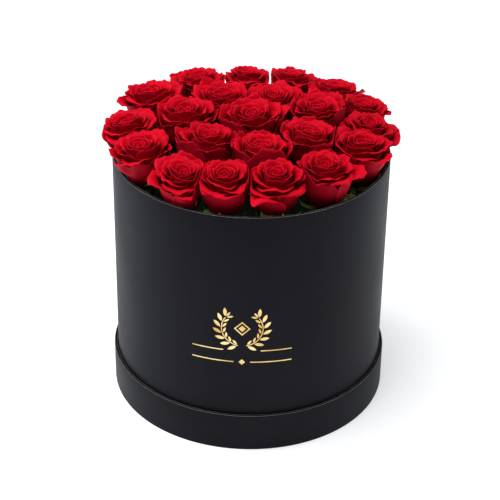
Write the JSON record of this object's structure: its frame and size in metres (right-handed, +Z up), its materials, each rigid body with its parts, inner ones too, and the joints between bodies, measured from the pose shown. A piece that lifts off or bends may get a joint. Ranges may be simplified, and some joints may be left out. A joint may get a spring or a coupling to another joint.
{
  "type": "flower box",
  "caption": "Round hat-box with a crown of cut roses in wet foam, standing in its upturned lid; the box, the foam insert and every rose lift out.",
  "frame": {"origin": "centre of the upturned lid's underside, on the table", "axes": "+Z up along the box axis; the foil emblem faces -Y; +X is to the right when facing the emblem"},
  "size_m": [0.2264, 0.2264, 0.246],
  "materials": {
    "black_paper": "matte soft-touch wrap",
    "lining_paper": "plain matte",
    "grey_board": "uncoated",
    "gold_foil": "stamped foil",
    "clear_film": "clear film",
    "wet_foam": "fine open foam",
    "red_petals": "velvety petal",
    "green_stem": "waxy plant skin"
  },
  "bodies": {
    "lid": {"lid_top_paper": "black_paper", "lid_panel_board": "grey_board", "lid_skirt_board": "grey_board", "lid_skirt_paper": "black_paper", "lid_lining_paper": "lining_paper"},
    "box": {"wall_board": "grey_board", "base_board": "grey_board", "wall_cover_paper": "black_paper", "base_cover_paper": "black_paper", "wall_lining_paper": "lining_paper", "floor_lining_paper": "lining_paper", "foil_emblem": "gold_foil"},
    "insert": {"waterproof_liner": "clear_film", "foam_lower_bricks": "wet_foam", "foam_upper_front": "wet_foam", "foam_upper_back": "wet_foam"},
    "rose_01": {"rose_01_bloom": "red_petals", "rose_01_stem": "green_stem"},
    "rose_02": {"rose_02_bloom": "red_petals", "rose_02_stem": "green_stem"},
    "rose_03": {"rose_03_bloom": "red_petals", "rose_03_stem": "green_stem"},
    "rose_04": {"rose_04_bloom": "red_petals", "rose_04_stem": "green_stem"},
    "rose_05": {"rose_05_bloom": "red_petals", "rose_05_stem": "green_stem"},
    "rose_06": {"rose_06_bloom": "red_petals", "rose_06_stem": "green_stem"},
    "rose_07": {"rose_07_bloom": "red_petals", "rose_07_stem": "green_stem"},
    "rose_08": {"rose_08_bloom": "red_petals", "rose_08_stem": "green_stem"},
    "rose_09": {"rose_09_bloom": "red_petals", "rose_09_stem": "green_stem"},
    "rose_10": {"rose_10_bloom": "red_petals", "rose_10_stem": "green_stem"},
    "rose_11": {"rose_11_bloom": "red_petals", "rose_11_stem": "green_stem"},
    "rose_12": {"rose_12_bloom": "red_petals", "rose_12_stem": "green_stem"},
    "rose_13": {"rose_13_bloom": "red_petals", "rose_13_stem": "green_stem"},
    "rose_14": {"rose_14_bloom": "red_petals", "rose_14_stem": "green_stem"},
    "rose_15": {"rose_15_bloom": "red_petals", "rose_15_stem": "green_stem"},
    "rose_16": {"rose_16_bloom": "red_petals", "rose_16_stem": "green_stem"},
    "rose_17": {"rose_17_bloom": "red_petals", "rose_17_stem": "green_stem"},
    "rose_18": {"rose_18_bloom": "red_petals", "rose_18_stem": "green_stem"},
    "rose_19": {"rose_19_bloom": "red_petals", "rose_19_stem": "green_stem"},
    "rose_20": {"rose_20_bloom": "red_petals", "rose_20_stem": "green_stem"},
    "rose_21": {"rose_21_bloom": "red_petals", "rose_21_stem": "green_stem"},
    "rose_22": {"rose_22_bloom": "red_petals", "rose_22_stem": "green_stem"}
  },
  "joints": [
    {"name": "box_lift", "type": "slide", "parent": "lid", "child": "box", "axis": [0, 0, 1], "range_m": [0, 0.06]},
    {"name": "insert_lift", "type": "slide", "parent": "box", "child": "insert", "axis": [0, 0, 1], "range_m": [0, 0.215]},
    {"name": "rose_01_pull", "type": "slide", "parent": "insert", "child": "rose_01", "axis": [-0.0652, 0.123, 0.9903], "range_m": [0, 0.07]},
    {"name": "rose_02_pull", "type": "slide", "parent": "insert", "child": "rose_02", "axis": [-0.0063, 0.139, 0.9903], "range_m": [0, 0.07]},
    {"name": "rose_03_pull", "type": "slide", "parent": "insert", "child": "rose_03", "axis": [0.0484, 0.1305, 0.9903], "range_m": [0, 0.07]},
    {"name": "rose_04_pull", "type": "slide", "parent": "insert", "child": "rose_04", "axis": [0.0991, 0.0977, 0.9903], "range_m": [0, 0.07]},
    {"name": "rose_05_pull", "type": "slide", "parent": "insert", "child": "rose_05", "axis": [0.1275, 0.0559, 0.9903], "range_m": [0, 0.07]},
    {"name": "rose_06_pull", "type": "slide", "parent": "insert", "child": "rose_06", "axis": [0.139, 0.0062, 0.9903], "range_m": [0, 0.07]},
    {"name": "rose_07_pull", "type": "slide", "parent": "insert", "child": "rose_07", "axis": [0.1306, -0.0482, 0.9903], "range_m": [0, 0.07]},
    {"name": "rose_08_pull", "type": "slide", "parent": "insert", "child": "rose_08", "axis": [0.0902, -0.106, 0.9903], "range_m": [0, 0.07]},
    {"name": "rose_09_pull", "type": "slide", "parent": "insert", "child": "rose_09", "axis": [0.033, -0.1352, 0.9903], "range_m": [0, 0.07]},
    {"name": "rose_10_pull", "type": "slide", "parent": "insert", "child": "rose_10", "axis": [-0.033, -0.1352, 0.9903], "range_m": [0, 0.07]},
    {"name": "rose_11_pull", "type": "slide", "parent": "insert", "child": "rose_11", "axis": [-0.0813, -0.1129, 0.9903], "range_m": [0, 0.07]},
    {"name": "rose_12_pull", "type": "slide", "parent": "insert", "child": "rose_12", "axis": [-0.1248, -0.0616, 0.9903], "range_m": [0, 0.07]},
    {"name": "rose_13_pull", "type": "slide", "parent": "insert", "child": "rose_13", "axis": [-0.1392, -0.0015, 0.9903], "range_m": [0, 0.07]},
    {"name": "rose_14_pull", "type": "slide", "parent": "insert", "child": "rose_14", "axis": [-0.1187, 0.0727, 0.9903], "range_m": [0, 0.07]},
    {"name": "rose_15_pull", "type": "slide", "parent": "insert", "child": "rose_15", "axis": [0, 0, 1], "range_m": [0, 0.07]},
    {"name": "rose_16_pull", "type": "slide", "parent": "insert", "child": "rose_16", "axis": [0, 0, 1], "range_m": [0, 0.07]},
    {"name": "rose_17_pull", "type": "slide", "parent": "insert", "child": "rose_17", "axis": [0, 0, 1], "range_m": [0, 0.07]},
    {"name": "rose_18_pull", "type": "slide", "parent": "insert", "child": "rose_18", "axis": [0, 0, 1], "range_m": [0, 0.07]},
    {"name": "rose_19_pull", "type": "slide", "parent": "insert", "child": "rose_19", "axis": [0, 0, 1], "range_m": [0, 0.07]},
    {"name": "rose_20_pull", "type": "slide", "parent": "insert", "child": "rose_20", "axis": [0, 0, 1], "range_m": [0, 0.07]},
    {"name": "rose_21_pull", "type": "slide", "parent": "insert", "child": "rose_21", "axis": [0, 0, 1], "range_m": [0, 0.07]},
    {"name": "rose_22_pull", "type": "slide", "parent": "insert", "child": "rose_22", "axis": [0, 0, 1], "range_m": [0, 0.07]}
  ]
}
